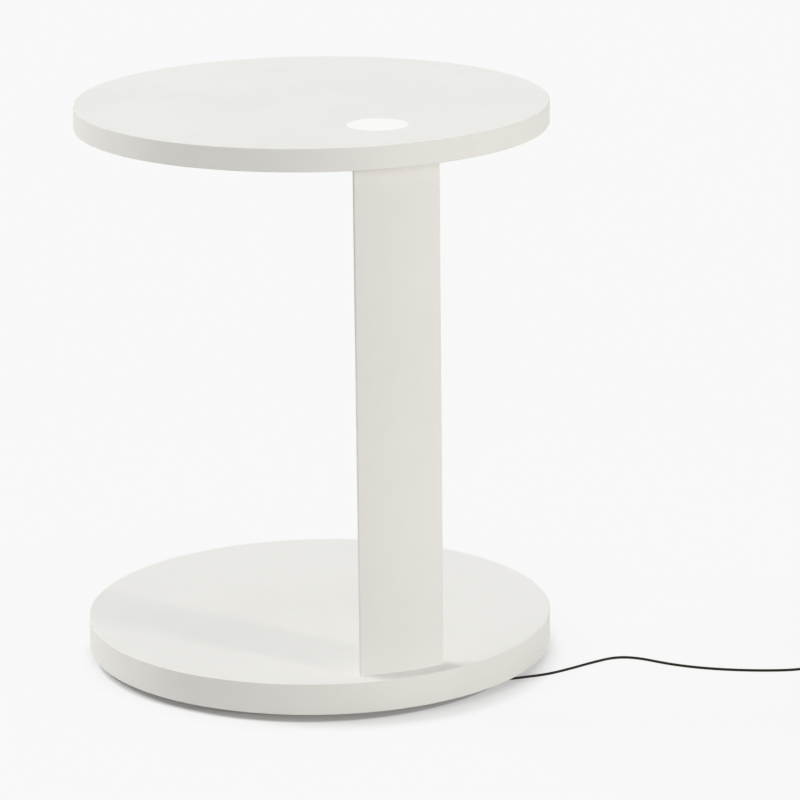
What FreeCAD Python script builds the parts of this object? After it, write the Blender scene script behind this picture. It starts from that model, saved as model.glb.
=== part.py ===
import FreeCAD, Part
import math
import os
import Sketcher
from FreeCAD import Placement, Rotation, Vector

# Round side table with a light in its top, carried by one curved column near the rim.
# Millimetres, +Z up, origin on the floor under the middle; the column stands on the -Y side.

SIZES = {
    # Whole table
    "table_height": 602.0,
    "disc_diameter": 500.0,
    "top_thickness": 24.0,
    "base_thickness": 33.5,
    "foot_gap": 7.5,
    # Pressed steel shells of the top and the base
    "top_skin": 3.0,
    "base_skin": 3.0,
    "rim_wall": 2.5,
    "edge_round": 0.8,
    "low_edge_round": 0.8,
    "plate_gap": 0.4,
    # Plate that closes the top from below, its ribs and its fixings
    "under_thickness": 4.0,
    "under_recess": 1.0,
    "rib_thickness": 5.0,
    "rib_inset": 60.0,
    "rib_spread": 66.0,
    "rib_gap": 0.3,
    "top_post_diameter": 12.0,
    "top_post_inset": 25.0,
    "top_post_count": 8,
    # Plate that closes the base from below, its fixings and the ballast
    "cover_thickness": 2.0,
    "cover_recess": 3.0,
    "base_post_diameter": 10.0,
    "base_post_inset": 12.0,
    "base_post_count": 6,
    "ballast_inset": 24.0,
    "ballast_thickness": 6.0,
    "stud_diameter": 6.0,
    "stud_inset": 110.0,
    "stud_count": 3,
    "stud_tail": 8.0,
    "nut_width": 10.0,
    "nut_height": 5.0,
    # Column: a face that follows the rim, a rounder back, hollow
    "face_inset": 19.0,
    "column_width": 97.0,
    "column_depth": 33.0,
    "column_wall": 2.5,
    "column_edge_round": 2.0,
    "end_plate": 10.0,
    "end_plate_gap": 0.1,
    # Bolts that hold the column, in from its face
    "bolt_diameter": 8.0,
    "bolt_head_diameter": 13.0,
    "bolt_head_height": 8.0,
    "washer_diameter": 16.0,
    "washer_thickness": 1.6,
    "bolt_share": 0.287,
    "bolt_pair_inset": 13.0,
    "bolt_single_inset": 21.5,
    "bolt_bite": 9.0,
    "hole_gap": 0.5,
    "thread_gap": 0.05,
    # Small screws
    "screw_diameter": 4.0,
    "screw_head_diameter": 8.0,
    "screw_head_height": 2.0,
    "screw_bite": 9.0,
    # Glides under the base
    "glide_diameter": 32.0,
    "glide_inset": 50.0,
    "glide_count": 5,
    "glide_round": 1.2,
    "glide_pocket": 2.0,
    # Light in the top
    "lamp_offset": 11.5,
    "lamp_inset": 100.2,
    "lens_diameter": 64.0,
    "lens_gap": 0.25,
    "lens_flange": 4.0,
    "lens_flange_thickness": 2.4,
    "seal_thickness": 0.6,
    "cup_wall": 4.0,
    "cup_floor": 3.0,
    "cup_ledge": 3.0,
    "board_gap": 3.25,
    "board_thickness": 1.6,
    "chip_width": 3.0,
    "chip_height": 0.7,
    "chip_inset": 16.0,
    "chip_count": 6,
    "reflector_gap": 0.4,
    "reflector_mouth": 1.6,
    "reflector_foot": 8.85,
    "lamp_screw_diameter": 3.0,
    "lamp_screw_head_diameter": 6.0,
    "lamp_screw_inset": 18.25,
    "lamp_screw_count": 3,
    # Leads, terminal block and gland in the base
    "cord_diameter": 2.8,
    "lead_hole": 8.0,
    "lead_inset": 9.5,
    "lead_bend": 8.0,
    "lead_rise": 8.0,
    "lead_drop": 4.0,
    "terminal_length": 22.0,
    "terminal_width": 14.0,
    "terminal_height": 9.0,
    "terminal_aside": 35.3,
    "gland_inset": 35.8,
    "gland_bearing": 22.3,
    "gland_angle": -9.0,
    "gland_stem": 10.0,
    "gland_flange": 16.0,
    "gland_flange_thickness": 1.2,
    "gland_rise": 6.0,
    "gland_axis": 5.2,
    "gland_nose": 18.0,
    "gland_nose_root": 3.2,
    "gland_nose_tip": 2.1,
    "gland_nut_width": 16.0,
    "gland_nut_height": 3.0,
    "exit_run": 21.0,
    "entry_run": 12.0,
    # In-line switch, and the row in which the put-away cord lies
    "row_ahead": 397.7,
    "row_aside": -69.2,
    "row_angle": 66.9,
    "switch_length": 46.0,
    "switch_width": 18.0,
    "switch_height": 12.0,
    "switch_split": 5.0,
    "switch_wall": 1.6,
    "switch_corner": 5.0,
    "switch_edge": 2.0,
    "switch_axis": 4.6,
    "well_length": 15.0,
    "well_width": 9.6,
    "rocker_length": 13.6,
    "rocker_gap": 0.3,
    "rocker_depth": 2.5,
    "rocker_crown": 3.0,
    "rocker_dip": 0.8,
    "rocker_pivot": 2.6,
    "rocker_tilt": 8.0,
    "trunnion_diameter": 2.0,
    "trunnion_gap": 0.05,
    "trunnion_reach": 1.8,
    "switch_screw_diameter": 2.5,
    "switch_screw_head_diameter": 5.0,
    "switch_screw_sink": 1.8,
    "switch_screw_spread": 17.0,
    "switch_screw_length": 7.0,
    # Coil of put-away cord and its tie
    "coil_turns": 13,
    "coil_middle": 32.0,
    "coil_pitch": 3.3,
    "coil_lift": 2.7,
    "coil_along": 90.8,
    "link_run": 9.0,
    "tail_run": 13.0,
    "tie_width": 8.0,
    "tie_thickness": 0.8,
    "tie_gap": 0.45,
    # Plug with its driver
    "plug_along": 143.0,
    "plug_aside": -16.0,
    "plug_length": 46.0,
    "plug_width": 38.0,
    "plug_height": 27.0,
    "plug_split": 20.0,
    "plug_round": 4.0,
    "boot_length": 12.0,
    "boot_root": 4.5,
    "boot_tip": 2.1,
    "pin_diameter": 4.0,
    "pin_length": 19.0,
    "pin_spread": 18.6,
}

# Layers of the coil: it spirals in, out, in and out again.
COIL_LAYERS = 4

# Route of the cord to the switch, chosen by hand, from the gland; each end runs straight into its piece.
LEAD_ROUTE = [
    (66.0, -7.0, 4.4),
    (95.5, -6.6, 3.4),
    (126.4, 2.0, 2.4),
    (156.7, 11.9, 1.7),
    (187.7, 18.2, 1.5),
    (209.1, 4.8, 1.5),
    (227.9, -25.0, 1.5),
    (251.9, -50.4, 1.5),
    (281.6, -72.4, 1.5),
    (315.2, -90.5, 1.5),
    (345.4, -101.2, 1.5),
    (370.9, -100.1, 1.5),
    (387.2, -90.8, 3.0),
]

# Routes in the row: along it, to its left, and up.
LINK_ROUTE = [(66.0, 1.2, 3.6)]
TAIL_ROUTE = [(122.0, -12.0, 13.2)]

doc = FreeCAD.newDocument("side_table_with_light")
sheet = doc.addObject("Spreadsheet::Sheet", "sizes")
for row, (alias, number) in enumerate(SIZES.items(), 1):
    sheet.set(f"A{row}", alias)
    sheet.set(f"B{row}", str(number))
    sheet.setAlias(f"B{row}", alias)
doc.recompute()


class Dim:
    """A size: its number now, and the expression that ties it to the sheet."""

    def __init__(self, number, text):
        self.number = number
        self.text = text

    def __add__(self, other):
        other = dim(other)
        return Dim(self.number + other.number, f"({self.text} + {other.text})")

    def __radd__(self, other):
        return dim(other) + self

    def __sub__(self, other):
        other = dim(other)
        return Dim(self.number - other.number, f"({self.text} - {other.text})")

    def __rsub__(self, other):
        return dim(other) - self

    def __mul__(self, other):
        other = dim(other)
        return Dim(self.number * other.number, f"({self.text} * {other.text})")

    def __rmul__(self, other):
        return dim(other) * self

    def __truediv__(self, other):
        other = dim(other)
        return Dim(self.number / other.number, f"({self.text} / {other.text})")

    def __neg__(self):
        return 0 - self


def dim(value):
    """The value as a Dim."""
    if isinstance(value, Dim):
        return value
    return Dim(float(value), repr(float(value)))


def size(alias):
    """A size from the sheet."""
    return Dim(float(sheet.get(alias)), f"sizes.{alias}")


def root(value):
    """The square root of a Dim."""
    return Dim(math.sqrt(value.number), f"sqrt({value.text})")


def sine(value):
    """The sine of a Dim in degrees."""
    return Dim(math.sin(math.radians(value.number)), f"sin({value.text})")


def cosine(value):
    """The cosine of a Dim in degrees."""
    return Dim(math.cos(math.radians(value.number)), f"cos({value.text})")


def bind(thing, name, value):
    """Ties a property to a Dim."""
    thing.setExpression(name, dim(value).text)


# Places that several pieces share.
disc_radius = size("disc_diameter") / 2
base_low = size("foot_gap")
base_top = base_low + size("base_thickness")
base_ceiling = base_top - size("base_skin")
cover_low = base_low + size("cover_recess")
cover_top = cover_low + size("cover_thickness")
ballast_low = base_ceiling - size("ballast_thickness")
table_top = size("table_height")
top_low = table_top - size("top_thickness")
top_ceiling = table_top - size("top_skin")
under_low = top_low + size("under_recess")
under_top = under_low + size("under_thickness")
face_radius = disc_radius - size("face_inset")
half_width = size("column_width") / 2
back_rise = size("column_depth") - face_radius + root(face_radius * face_radius - half_width * half_width)
back_radius = (back_rise * back_rise + half_width * half_width) / (2 * back_rise)
back_centre = size("column_depth") - face_radius - back_radius
lamp_x = size("lamp_offset")
lamp_y = size("lamp_inset") - disc_radius
lens_radius = size("lens_diameter") / 2
cup_bore = lens_radius + size("lens_flange") + size("lens_gap")
cup_outer = cup_bore + size("cup_wall")
cup_inner = cup_bore - size("cup_ledge")
lamp_screw_reach = cup_outer - size("lamp_screw_inset")
flange_top = top_ceiling - size("seal_thickness")
flange_low = flange_top - size("lens_flange_thickness")
cup_floor_top = under_top + size("cup_floor")
board_top = cup_floor_top + size("board_thickness")
lead_y = size("lead_inset") - face_radius
bolt_pair_y = size("bolt_pair_inset") - face_radius
bolt_single_y = size("bolt_single_inset") - face_radius
bolt_spread = size("column_width") * size("bolt_share")
bolt_spots = [(-bolt_spread, bolt_pair_y), (bolt_spread, bolt_pair_y), (dim(0), bolt_single_y)]
bolt_hole = size("bolt_diameter") / 2 + size("hole_gap")
screw_hole = size("screw_diameter") / 2 + size("hole_gap")
cord_radius = size("cord_diameter") / 2
gland_x = (disc_radius - size("gland_inset")) * sine(size("gland_bearing"))
gland_y = (size("gland_inset") - disc_radius) * cosine(size("gland_bearing"))

made = {}


def keep(thing, label):
    """Lists a sub-part under the name of its file."""
    thing.Label = label
    made[label] = thing
    return thing


def new_body(label, kept=True):
    """A body; one that only serves as a pattern isn't kept."""
    body = doc.addObject("PartDesign::Body", label)
    if kept:
        keep(body, label)
    return body


def new_sketch(body, role, lift=None):
    """A sketch on one of the body's own origin planes, lifted along the plane's normal."""
    sketch = body.newObject("Sketcher::SketchObject", f"{body.Name}_sketch")
    plane = next(f for f in body.Origin.OriginFeatures if f.Role == role)
    sketch.AttachmentSupport = [(plane, "")]
    sketch.MapMode = "FlatFace"
    if lift is not None:
        bind(sketch, "AttachmentOffset.Base.z", lift)
    return sketch


def limit(sketch, value, kind, *where):
    """Adds one dimension to a sketch and ties it to a Dim."""
    index = sketch.addConstraint(Sketcher.Constraint(kind, *where, value.number))
    bind(sketch, f"Constraints[{index}]", value)


def hold(sketch, item, point, x, y):
    """Holds a point of a sketch at its distances from the axes."""
    limit(sketch, x, "DistanceX", item, point)
    limit(sketch, y, "DistanceY", item, point)


def outline(sketch, points):
    """Straight lines through the points and back to the first."""
    corners = [(dim(x), dim(y)) for x, y in points]
    spots = [Vector(x.number, y.number, 0) for x, y in corners]
    first = sketch.GeometryCount
    for here, there in zip(spots, spots[1:] + spots[:1]):
        sketch.addGeometry(Part.LineSegment(here, there), False)
    for index, (x, y) in enumerate(corners):
        before = first + (index - 1) % len(corners)
        sketch.addConstraint(Sketcher.Constraint("Coincident", before, 2, first + index, 1))
        hold(sketch, first + index, 1, x, y)


def block(sketch, x0, y0, x1, y1):
    """A rectangle between two corners."""
    outline(sketch, [(x0, y0), (x1, y0), (x1, y1), (x0, y1)])


def circle(sketch, x, y, radius):
    """A circle."""
    x, y, radius = dim(x), dim(y), dim(radius)
    centre = Vector(x.number, y.number, 0)
    item = sketch.addGeometry(Part.Circle(centre, Vector(0, 0, 1), radius.number), False)
    hold(sketch, item, 3, x, y)
    limit(sketch, radius, "Radius", item)


def ring_spots(count, reach, turn=0.0, x=0, y=0):
    """Places evenly round a circle of radius reach, the first one turned from the -Y side."""
    spots = []
    for index in range(int(size(count).number)):
        angle = math.radians(turn + 360.0 * index / int(size(count).number))
        spots.append((x + reach * math.sin(angle), y - reach * math.cos(angle)))
    return spots


def pad(body, sketch, length, middle=False, down=False):
    """Pads a sketch by a length, both ways from its middle or against its normal."""
    feature = body.newObject("PartDesign::Pad", f"{body.Name}_pad")
    feature.Profile = sketch
    bind(feature, "Length", length)
    if middle:
        feature.SideType = "Symmetric"
    feature.Reversed = down
    return feature


def pocket(body, sketch, depth=None, up=True, middle=False):
    """Cuts a sketch out of the body, by a depth or right through."""
    feature = body.newObject("PartDesign::Pocket", f"{body.Name}_pocket")
    feature.Profile = sketch
    if depth is None:
        feature.Type = "ThroughAll"
    else:
        bind(feature, "Length", depth)
    if middle:
        feature.SideType = "Symmetric"
    feature.Reversed = up
    return feature


def turned(body, points):
    """Turns a profile of radius and height round the body's own Z axis."""
    sketch = new_sketch(body, "XZ_Plane")
    outline(sketch, points)
    feature = body.newObject("PartDesign::Revolution", f"{body.Name}_turn")
    feature.Profile = sketch
    feature.ReferenceAxis = (sketch, ["V_Axis"])
    feature.Angle = 360.0
    return feature


def round_edges(body, radius, wanted):
    """Rounds those edges of the body that wanted() picks."""
    doc.recompute()
    last = body.Tip
    names = [f"Edge{i}" for i, edge in enumerate(last.Shape.Edges, 1) if wanted(edge)]
    if not names:
        raise RuntimeError(f"{body.Label}: no edge to round")
    feature = body.newObject("PartDesign::Fillet", f"{body.Name}_round")
    feature.Base = (last, names)
    bind(feature, "Radius", radius)
    return feature


def near(a, b):
    return abs(a - b) < 1e-4


def ring_edge(radius, height):
    """Picks a whole circle about Z of this radius at this height."""
    def wanted(edge):
        curve = edge.Curve
        if not isinstance(curve, Part.Circle) or len(edge.Vertexes) != 1:
            return False
        return near(curve.Radius, radius.number) and near(curve.Center.z, height.number)
    return wanted


def upright(edge):
    """Picks straight edges along Z."""
    return isinstance(edge.Curve, Part.Line) and abs(edge.tangentAt(edge.FirstParameter).z) > 0.999


def at_height(height):
    """Picks edges that lie flat at this height."""
    def wanted(edge):
        return near(edge.BoundBox.ZMin, height.number) and near(edge.BoundBox.ZMax, height.number)
    return wanted


def place(thing, x=0, y=0, z=0, angle=None):
    """Moves a piece, after a turn about Z."""
    if angle is not None:
        thing.Placement.Rotation = Rotation(Vector(0, 0, 1), dim(angle).number)
        bind(thing, "Placement.Rotation.Angle", angle)
    bind(thing, "Placement.Base.x", x)
    bind(thing, "Placement.Base.y", y)
    bind(thing, "Placement.Base.z", z)


def group(label, pattern, spots, z):
    """Copies a pattern piece to several places as one sub-part of separate solids."""
    doc.recompute()
    copies = [pattern.Shape.translated(Vector(dim(x).number, dim(y).number, dim(z).number)) for x, y in spots]
    thing = keep(doc.addObject("Part::Feature", label), label)
    thing.Shape = Part.makeCompound(copies)
    return thing


def holes(body, spots, radius, extra=()):
    """Drills round holes right through, upwards from the floor."""
    sketch = new_sketch(body, "XY_Plane")
    for x, y in spots:
        circle(sketch, x, y, radius)
    for x, y, other in extra:
        circle(sketch, x, y, other)
    return pocket(body, sketch)


def disc(label, radius, low, thickness):
    """A round plate."""
    body = new_body(label)
    sketch = new_sketch(body, "XY_Plane", low)
    circle(sketch, 0, 0, radius)
    pad(body, sketch, thickness)
    return body


def pan(label, radius, low, high, skin):
    """A pressed round pan, open below, with rounded outer edges."""
    body = new_body(label)
    inside = radius - size("rim_wall")
    ceiling = high - skin
    turned(body, [(0, high), (radius, high), (radius, low), (inside, low), (inside, ceiling), (0, ceiling)])
    round_edges(body, size("edge_round"), ring_edge(radius, high))
    round_edges(body, size("low_edge_round"), ring_edge(radius, low))
    return body


def bolt(name, kind, head_height, length):
    """A pattern for a screw that points up: its head hangs below z = 0."""
    body = new_body(name, kept=False)
    shank = size(f"{kind}_diameter") / 2
    cap = size(f"{kind}_head_diameter") / 2
    below = -dim(head_height)
    turned(body, [(0, below), (cap, below), (cap, 0), (shank, 0), (shank, length), (0, length)])
    return body


def sleeve(name, outer, bore, length):
    """A pattern for a round sleeve that stands on z = 0."""
    body = new_body(name, kept=False)
    turned(body, [(bore, 0), (outer, 0), (outer, length), (bore, length)])
    return body


def hexagon(name, width, bore, height):
    """A pattern for a nut that stands on z = 0."""
    body = new_body(name, kept=False)
    sketch = new_sketch(body, "XY_Plane")
    reach = width / math.sqrt(3.0)
    turns = [math.radians(60.0 * index) for index in range(6)]
    outline(sketch, [(reach * math.cos(turn), reach * math.sin(turn)) for turn in turns])
    circle(sketch, 0, 0, bore)
    pad(body, sketch, height)
    return body


def column_section(sketch, inset):
    """The column's section drawn in by an inset: a face round the table's axis, and its back."""
    face = face_radius - inset
    back = back_radius - inset
    meet_y = (face.number ** 2 - back.number ** 2 + back_centre.number ** 2) / (2 * back_centre.number)
    meet_x = math.sqrt(face.number ** 2 - meet_y ** 2)
    sweep = math.atan2(meet_x, -meet_y)
    turn = math.atan2(meet_x, meet_y - back_centre.number)
    down = -math.pi / 2
    up = math.pi / 2
    axis = Vector(0, 0, 1)
    face_circle = Part.Circle(Vector(0, 0, 0), axis, face.number)
    back_circle = Part.Circle(Vector(0, back_centre.number, 0), axis, back.number)
    front = sketch.addGeometry(Part.ArcOfCircle(face_circle, down - sweep, down + sweep), False)
    rear = sketch.addGeometry(Part.ArcOfCircle(back_circle, up - turn, up + turn), False)
    sketch.addConstraint(Sketcher.Constraint("Coincident", front, 2, rear, 1))
    sketch.addConstraint(Sketcher.Constraint("Coincident", rear, 2, front, 1))
    sketch.addConstraint(Sketcher.Constraint("Coincident", front, 3, -1, 1))
    hold(sketch, rear, 3, dim(0), back_centre)
    limit(sketch, face, "Radius", front)
    limit(sketch, back, "Radius", rear)


# Base: shell with its studs, ballast, posts, cover and glides.
def make_base():
    shell = pan("base_shell", disc_radius, base_low, base_top, size("base_skin"))
    studs = ring_spots("stud_count", disc_radius - size("stud_inset"), 60.0)
    sketch = new_sketch(shell, "XY_Plane", base_ceiling)
    for x, y in studs:
        circle(sketch, x, y, size("stud_diameter") / 2)
    pad(shell, sketch, size("ballast_thickness") + size("stud_tail"), down=True)
    lead = (lamp_x, lead_y, size("lead_hole") / 2)
    sketch = new_sketch(shell, "XY_Plane", base_ceiling)
    for x, y in bolt_spots:
        circle(sketch, x, y, bolt_hole)
    circle(sketch, *lead)
    pocket(shell, sketch)

    ballast_radius = disc_radius - size("ballast_inset")
    ballast = disc("ballast_plate", ballast_radius, ballast_low, size("ballast_thickness"))
    stud_hole = size("stud_diameter") / 2 + size("hole_gap")
    holes(ballast, bolt_spots, bolt_hole, [(x, y, stud_hole) for x, y in studs] + [lead])
    nut_bore = size("stud_diameter") / 2 + size("thread_gap")
    nut = hexagon("nut_pattern", size("nut_width"), nut_bore, size("nut_height"))
    group("ballast_nuts", nut, studs, ballast_low - size("nut_height"))

    posts = ring_spots("base_post_count", disc_radius - size("base_post_inset"), 30.0)
    tapped = size("screw_diameter") / 2 + size("thread_gap")
    post = sleeve("base_post_pattern", size("base_post_diameter") / 2, tapped, base_ceiling - cover_top)
    group("base_posts", post, posts, cover_top)

    cover_radius = disc_radius - size("rim_wall") - size("plate_gap")
    cover = disc("base_cover", cover_radius, cover_low, size("cover_thickness"))
    glides = ring_spots("glide_count", disc_radius - size("glide_inset"))
    gland_hole = size("gland_stem") / 2 + size("thread_gap")
    holes(cover, posts, screw_hole, [(x, y, tapped) for x, y in glides]
          + [(gland_x, gland_y, gland_hole)])
    grip = size("cover_thickness") + size("screw_bite")
    screw = bolt("cover_screw_pattern", "screw", size("screw_head_height"), grip)
    group("base_cover_screws", screw, posts, cover_low)

    glide = new_body("glide_pattern", kept=False)
    foot = size("glide_diameter") / 2
    sink = size("glide_pocket") + size("screw_head_height")
    head_hole = size("screw_head_diameter") / 2 + size("hole_gap")
    turned(glide, [(head_hole, 0), (foot, 0), (foot, cover_low), (screw_hole, cover_low), (screw_hole, sink),
                   (head_hole, sink)])
    round_edges(glide, size("glide_round"), ring_edge(foot, dim(0)))
    group("glides", glide, glides, 0)
    reach = cover_top - sink
    pin = bolt("glide_screw_pattern", "screw", size("screw_head_height"), reach)
    group("glide_screws", pin, glides, sink)


# Column: hollow shell, a welded plate in each end, and the bolts above and below.
def make_column():
    shell = new_body("column_shell")
    sketch = new_sketch(shell, "XY_Plane", base_top)
    column_section(sketch, dim(0))
    pad(shell, sketch, under_low - base_top)
    round_edges(shell, size("column_edge_round"), upright)
    sketch = new_sketch(shell, "XY_Plane", base_top)
    column_section(sketch, size("column_wall"))
    pocket(shell, sketch)

    inset = size("column_wall") + size("end_plate_gap")
    tapped = size("bolt_diameter") / 2 + size("thread_gap")
    lead = [(lamp_x, lead_y, size("lead_hole") / 2)]
    for label, low in (("column_foot_plate", base_top), ("column_head_plate", under_low - size("end_plate"))):
        plate = new_body(label)
        sketch = new_sketch(plate, "XY_Plane", low)
        column_section(sketch, inset)
        pad(plate, sketch, size("end_plate"))
        holes(plate, bolt_spots, tapped, lead)

    washer = sleeve("washer_pattern", size("washer_diameter") / 2, bolt_hole, size("washer_thickness"))
    group("base_washers", washer, bolt_spots, ballast_low - size("washer_thickness"))
    group("head_washers", washer, bolt_spots, under_top)
    packed = size("washer_thickness") + size("bolt_bite")
    length = packed + size("ballast_thickness") + size("base_skin")
    lower = bolt("base_bolt_pattern", "bolt", size("bolt_head_height"), length)
    group("base_bolts", lower, bolt_spots, ballast_low - size("washer_thickness"))
    upper = new_body("head_bolt_pattern", kept=False)
    shank = size("bolt_diameter") / 2
    cap = size("bolt_head_diameter") / 2
    tip = -(packed + size("under_thickness"))
    head = size("bolt_head_height")
    turned(upper, [(0, tip), (shank, tip), (shank, 0), (cap, 0), (cap, head), (0, head)])
    group("head_bolts", upper, bolt_spots, under_top + size("washer_thickness"))


# Top: shell, the plate that closes it from below, two ribs, posts and flush screws.
def make_top():
    shell = pan("top_shell", disc_radius, top_low, table_top, size("top_skin"))
    sketch = new_sketch(shell, "XY_Plane", top_ceiling)
    circle(sketch, lamp_x, lamp_y, lens_radius + size("lens_gap"))
    pocket(shell, sketch)

    inside = disc_radius - size("rim_wall") - size("plate_gap")
    under = disc("top_under_plate", inside, under_low, size("under_thickness"))
    posts = ring_spots("top_post_count", disc_radius - size("top_post_inset"), 22.5)
    lamp_screws = ring_spots("lamp_screw_count", lamp_screw_reach, 60.0, lamp_x, lamp_y)
    lamp_hole = size("lamp_screw_diameter") / 2 + size("hole_gap")
    holes(under, bolt_spots, bolt_hole, [(x, y, screw_hole) for x, y in posts]
          + [(x, y, lamp_hole) for x, y in lamp_screws]
          + [(lamp_x, lead_y, size("lead_hole") / 2)])
    sketch = new_sketch(under, "XY_Plane", under_low)
    for x, y in posts:
        circle(sketch, x, y, size("screw_head_diameter") / 2 + size("hole_gap") / 2)
    for x, y in lamp_screws:
        circle(sketch, x, y, size("lamp_screw_head_diameter") / 2 + size("hole_gap") / 2)
    pocket(under, sketch, size("screw_head_height"))

    cavity = top_ceiling - under_top
    tapped = size("screw_diameter") / 2 + size("thread_gap")
    post = sleeve("top_post_pattern", size("top_post_diameter") / 2, tapped, cavity)
    group("top_posts", post, posts, under_top)
    grip = size("under_thickness") - size("screw_head_height") + size("screw_bite")
    screw = bolt("top_screw_pattern", "screw", size("screw_head_height"), grip)
    group("top_screws", screw, posts, under_low + size("screw_head_height"))

    rib_length = 2 * (disc_radius - size("rib_inset"))
    for label, side in (("top_rib_left", -1), ("top_rib_right", 1)):
        rib = keep(doc.addObject("Part::Box", label), label)
        bind(rib, "Length", size("rib_thickness"))
        bind(rib, "Width", rib_length)
        bind(rib, "Height", cavity - size("rib_gap"))
        place(rib, side * size("rib_spread") - size("rib_thickness") / 2, -rib_length / 2, under_top)


# Light: lens, seal, cup, board, chips, reflector and screws, about the lamp's own axis.
def make_lamp():
    flange = lens_radius + size("lens_flange")

    lens = new_body("diffuser")
    turned(lens, [(0, flange_low), (flange, flange_low), (flange, flange_top), (lens_radius, flange_top),
                  (lens_radius, table_top), (0, table_top)])
    seal = new_body("diffuser_seal")
    seal_in = lens_radius + size("lens_gap")
    turned(seal, [(seal_in, flange_top), (flange, flange_top), (flange, top_ceiling), (seal_in, top_ceiling)])

    cup = new_body("lamp_cup")
    turned(cup, [(0, under_top), (cup_outer, under_top), (cup_outer, flange_top), (cup_bore, flange_top),
                 (cup_bore, flange_low), (cup_inner, flange_low), (cup_inner, cup_floor_top),
                 (0, cup_floor_top)])
    wire = new_sketch(cup, "XZ_Plane", dim(0))
    circle(wire, 0, under_top + size("lead_rise"), cord_radius + size("hole_gap"))
    pocket(cup, wire)
    tapped = size("lamp_screw_diameter") / 2 + size("thread_gap")
    sketch = new_sketch(cup, "XY_Plane", under_top)
    for x, y in ring_spots("lamp_screw_count", lamp_screw_reach, 60.0):
        circle(sketch, x, y, tapped)
    pocket(cup, sketch, size("cup_floor"))

    board = new_body("led_board")
    sketch = new_sketch(board, "XY_Plane", cup_floor_top)
    board_radius = cup_inner - size("board_gap")
    circle(sketch, 0, 0, board_radius)
    pad(board, sketch, size("board_thickness"))

    chip = new_body("chip_pattern", kept=False)
    half = size("chip_width") / 2
    chip_reach = board_radius - size("chip_inset")
    sketch = new_sketch(chip, "XY_Plane")
    block(sketch, -half, -half, half, half)
    pad(chip, sketch, size("chip_height"))
    spots = [(lamp_x, lamp_y)] + ring_spots("chip_count", chip_reach, 0.0, lamp_x, lamp_y)
    group("led_chips", chip, spots, board_top)

    reflector = new_body("lamp_reflector")
    outer = cup_inner - size("reflector_gap")
    mouth = outer - size("reflector_mouth")
    throat = outer - size("reflector_foot")
    lip = flange_low - size("reflector_gap")
    turned(reflector, [(throat, board_top), (outer, board_top), (outer, lip), (mouth, lip)])

    for thing in (lens, seal, cup, board, reflector):
        place(thing, lamp_x, lamp_y)
    grip = size("under_thickness") + size("cup_floor") - size("screw_head_height") - size("lens_gap")
    screw = bolt("lamp_screw_pattern", "lamp_screw", size("screw_head_height"), grip)
    spots = ring_spots("lamp_screw_count", lamp_screw_reach, 60.0, lamp_x, lamp_y)
    group("lamp_screws", screw, spots, under_low + size("screw_head_height"))


def tube_path(points, least=None):
    """Straight runs through the points joined by tangent arcs, with the arcs' radii.

    An arc is as large as its two runs allow, or no larger than least where that is given.
    """
    edges = []
    radii = []
    here = points[0]
    for before, corner, after in zip(points, points[1:], points[2:]):
        into = (corner - before).normalize()
        out = (after - corner).normalize()
        turn = into.getAngle(out)
        shorter = min((corner - before).Length, (after - corner).Length)
        cut = 0.45 * shorter
        if least is not None:
            cut = min(cut, least * math.tan(turn / 2))
        radius = cut / math.tan(turn / 2)
        start = corner - into * cut
        end = corner + out * cut
        inward = (out - into).normalize()
        middle = corner + inward * (radius / math.cos(turn / 2) - radius)
        edges.append(Part.LineSegment(here, start).toShape())
        edges.append(Part.Arc(start, middle, end).toShape())
        radii.append(radius)
        here = end
    edges.append(Part.LineSegment(here, points[-1]).toShape())
    return Part.Wire(edges), radii


def tube(wire, label):
    """A round tube of cord along a path, with its volume compared with section times length."""
    start = wire.Edges[0]
    along = start.tangentAt(start.FirstParameter)
    ring = Part.Circle(start.valueAt(start.FirstParameter), along, cord_radius.number)
    sweep = Part.BRepOffsetAPI.MakePipeShell(wire)
    sweep.add(Part.Wire([ring.toShape()]))
    sweep.build()
    sweep.makeSolid()
    shape = sweep.shape()
    share = shape.Volume / (math.pi * cord_radius.number ** 2 * wire.Length)
    print(f"{label}: length {wire.Length:.1f}, volume over section times length {share:.4f}")
    if abs(share - 1.0) > 0.01:
        raise RuntimeError(f"{label}: the tube's volume is wrong")
    return shape


def point(x, y, z):
    """A point from numbers or Dims."""
    return Vector(dim(x).number, dim(y).number, dim(z).number)


row_place = Placement(
    point(gland_x + size("row_ahead"), gland_y + size("row_aside"), 0),
    Rotation(Vector(0, 0, 1), size("row_angle").number),
)


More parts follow.
